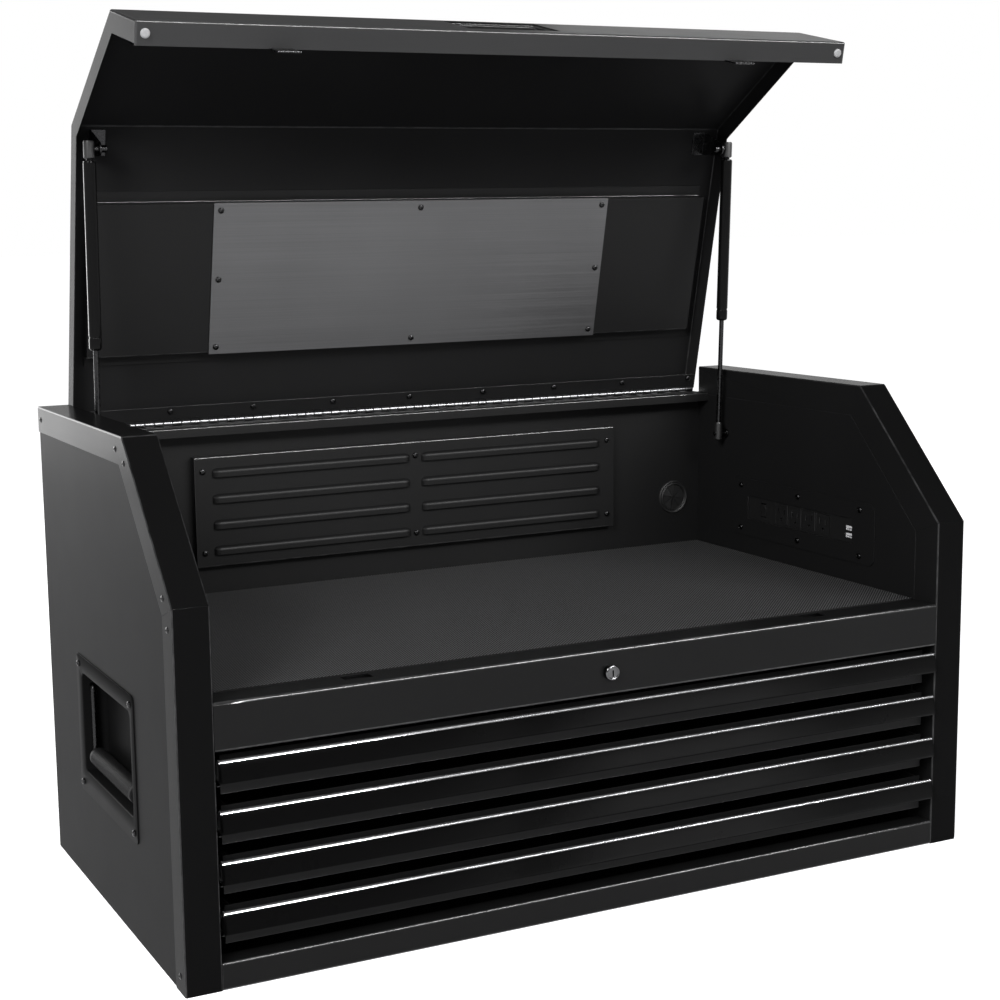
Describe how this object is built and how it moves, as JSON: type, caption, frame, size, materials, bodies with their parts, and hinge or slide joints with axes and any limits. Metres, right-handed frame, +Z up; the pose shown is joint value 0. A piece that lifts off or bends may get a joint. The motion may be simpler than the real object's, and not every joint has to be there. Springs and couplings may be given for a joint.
{
  "type": "machinist tool chest",
  "caption": "Steel tool chest with a lift-up sloping lid on gas struts over a matted till, shallow full-width drawers below and a recessed carrying handle on each side.",
  "frame": {"origin": "on the floor under the middle of the body, half way between its sides and between its front posts and back panel", "axes": "+Z up, -Y towards the front, +X to the right seen from the front"},
  "size_m": [1.0464, 0.569, 1.0435],
  "materials": {
    "black_coat": "satin black powder coat",
    "trim_coat": "satin black powder coat on the edge trims and rails",
    "inner_coat": "fine-textured black powder coat",
    "drawer_coat": "satin black powder coat",
    "pull_coat": "semi-gloss black on a thin profile",
    "mat_rubber": "ribbed non-slip mat",
    "soft_rubber": "matt black rubber",
    "strip_plastic": "black moulded plastic",
    "brushed_plate": "dark brushed steel",
    "strut_coat": "gloss black strut tube",
    "bright_steel": "polished",
    "bail_grip": "ribbed rubber grip on a black rod",
    "hinge_coat": "black finished steel",
    "zinc_plate": "zinc plated"
  },
  "bodies": {
    "chest": {"base_pan": "black_coat", "bottom_rail": "trim_coat", "front_rail": "trim_coat", "left_side_panel": "black_coat", "right_side_panel": "black_coat", "left_inner_panel": "inner_coat", "right_inner_panel": "inner_coat", "left_trim": "trim_coat", "right_trim": "trim_coat", "back_panel": "inner_coat", "till_floor": "inner_coat", "till_mat": "mat_rubber", "louvred_panel": "inner_coat", "panel_screws": "zinc_plate", "cable_grommet": "soft_rubber", "power_strip_bezel": "inner_coat", "power_strip_body": "strip_plastic", "power_sockets": "strip_plastic", "hinge_chest_leaf": "hinge_coat", "hinge_pin": "zinc_plate", "left_handle_pocket": "trim_coat", "right_handle_pocket": "trim_coat", "cabinet_rails": "zinc_plate", "trim_rivets": "zinc_plate", "strut_studs": "zinc_plate", "lock_housing": "bright_steel"},
    "lid": {"lid_shell": "black_coat", "lid_stiffener": "inner_coat", "lid_plate": "brushed_plate", "lid_screws": "zinc_plate", "hinge_lid_leaf": "hinge_coat", "lid_hooks": "zinc_plate", "lid_bumpers": "zinc_plate", "lid_grip_cup": "black_coat", "lid_strut_brackets": "zinc_plate"},
    "left_strut_rod": {"left_strut_rod": "bright_steel"},
    "left_strut_tube": {"left_strut_tube": "strut_coat"},
    "right_strut_rod": {"right_strut_rod": "bright_steel"},
    "right_strut_tube": {"right_strut_tube": "strut_coat"},
    "left_bail": {"left_bail": "bail_grip"},
    "right_bail": {"right_bail": "bail_grip"},
    "lock_cylinder": {"lock_cylinder": "bright_steel"},
    "latch_bar": {"latch_bar": "zinc_plate"},
    "power_switch": {"power_switch": "strip_plastic"},
    "drawer_1": {"drawer_1_tray": "drawer_coat", "drawer_1_pull": "pull_coat", "drawer_1_rails": "zinc_plate"},
    "drawer_1_slides": {"drawer_1_slides": "zinc_plate"},
    "drawer_2": {"drawer_2_tray": "drawer_coat", "drawer_2_pull": "pull_coat", "drawer_2_rails": "zinc_plate"},
    "drawer_2_slides": {"drawer_2_slides": "zinc_plate"},
    "drawer_3": {"drawer_3_tray": "drawer_coat", "drawer_3_pull": "pull_coat", "drawer_3_rails": "zinc_plate"},
    "drawer_3_slides": {"drawer_3_slides": "zinc_plate"},
    "drawer_4": {"drawer_4_tray": "drawer_coat", "drawer_4_pull": "pull_coat", "drawer_4_rails": "zinc_plate"},
    "drawer_4_slides": {"drawer_4_slides": "zinc_plate"}
  },
  "joints": [
    {"name": "lid_hinge", "type": "hinge", "parent": "chest", "child": "lid", "pos_m": [0, 0.268, 0.5457], "axis": [1, 0, 0], "range_deg": [0, 77.5]},
    {"name": "left_strut_swing", "type": "hinge", "parent": "chest", "child": "left_strut_rod", "pos_m": [-0.464, 0.192, 0.486], "axis": [1, 0, 0], "range_deg": [0, 78.71]},
    {"name": "left_strut_stroke", "type": "slide", "parent": "left_strut_rod", "child": "left_strut_tube", "axis": [0, -0.0395, 0.9992], "range_m": [-0.12079, 0]},
    {"name": "right_strut_swing", "type": "hinge", "parent": "chest", "child": "right_strut_rod", "pos_m": [0.464, 0.192, 0.486], "axis": [1, 0, 0], "range_deg": [0, 78.71]},
    {"name": "right_strut_stroke", "type": "slide", "parent": "right_strut_rod", "child": "right_strut_tube", "axis": [0, -0.0395, 0.9992], "range_m": [-0.12079, 0]},
    {"name": "left_bail_swing", "type": "hinge", "parent": "chest", "child": "left_bail", "pos_m": [-0.5088, 0.0045, 0.252], "axis": [0, 1, 0], "range_deg": [0, 90]},
    {"name": "right_bail_swing", "type": "hinge", "parent": "chest", "child": "right_bail", "pos_m": [0.5088, 0.0045, 0.252], "axis": [0, -1, 0], "range_deg": [0, 90]},
    {"name": "latch_throw", "type": "slide", "parent": "chest", "child": "latch_bar", "axis": [1, 0, 0], "range_m": [0, 0.01414]},
    {"name": "lock_turn", "type": "hinge", "parent": "chest", "child": "lock_cylinder", "pos_m": [0, -0.265, 0.2879], "axis": [0, 1, 0], "range_deg": [0, 90]},
    {"name": "power_switch_rock", "type": "hinge", "parent": "chest", "child": "power_switch", "pos_m": [0.4818, 0.0982, 0.3835], "axis": [0, 1, 0], "range_deg": [0, 16]},
    {"name": "drawer_1_slide", "type": "slide", "parent": "chest", "child": "drawer_1", "axis": [0, -1, 0], "range_m": [0, 0.4]},
    {"name": "drawer_1_slides_run", "type": "slide", "parent": "chest", "child": "drawer_1_slides", "axis": [0, -1, 0], "range_m": [0, 0.2]},
    {"name": "drawer_2_slide", "type": "slide", "parent": "chest", "child": "drawer_2", "axis": [0, -1, 0], "range_m": [0, 0.4]},
    {"name": "drawer_2_slides_run", "type": "slide", "parent": "chest", "child": "drawer_2_slides", "axis": [0, -1, 0], "range_m": [0, 0.2]},
    {"name": "drawer_3_slide", "type": "slide", "parent": "chest", "child": "drawer_3", "axis": [0, -1, 0], "range_m": [0, 0.4]},
    {"name": "drawer_3_slides_run", "type": "slide", "parent": "chest", "child": "drawer_3_slides", "axis": [0, -1, 0], "range_m": [0, 0.2]},
    {"name": "drawer_4_slide", "type": "slide", "parent": "chest", "child": "drawer_4", "axis": [0, -1, 0], "range_m": [0, 0.4]},
    {"name": "drawer_4_slides_run", "type": "slide", "parent": "chest", "child": "drawer_4_slides", "axis": [0, -1, 0], "range_m": [0, 0.2]}
  ],
  "couplings": [
    {"joint": "left_strut_swing", "follows": "lid_hinge", "ratio": 1.0154},
    {"joint": "left_strut_stroke", "follows": "lid_hinge", "m_per_rad": -0.089285},
    {"joint": "right_strut_swing", "follows": "lid_hinge", "ratio": 1.0154},
    {"joint": "right_strut_stroke", "follows": "lid_hinge", "m_per_rad": -0.089285},
    {"joint": "lock_turn", "follows": "latch_throw", "rad_per_m": 111.07},
    {"joint": "drawer_1_slides_run", "follows": "drawer_1_slide", "ratio": 0.5},
    {"joint": "drawer_2_slides_run", "follows": "drawer_2_slide", "ratio": 0.5},
    {"joint": "drawer_3_slides_run", "follows": "drawer_3_slide", "ratio": 0.5},
    {"joint": "drawer_4_slides_run", "follows": "drawer_4_slide", "ratio": 0.5}
  ]
}
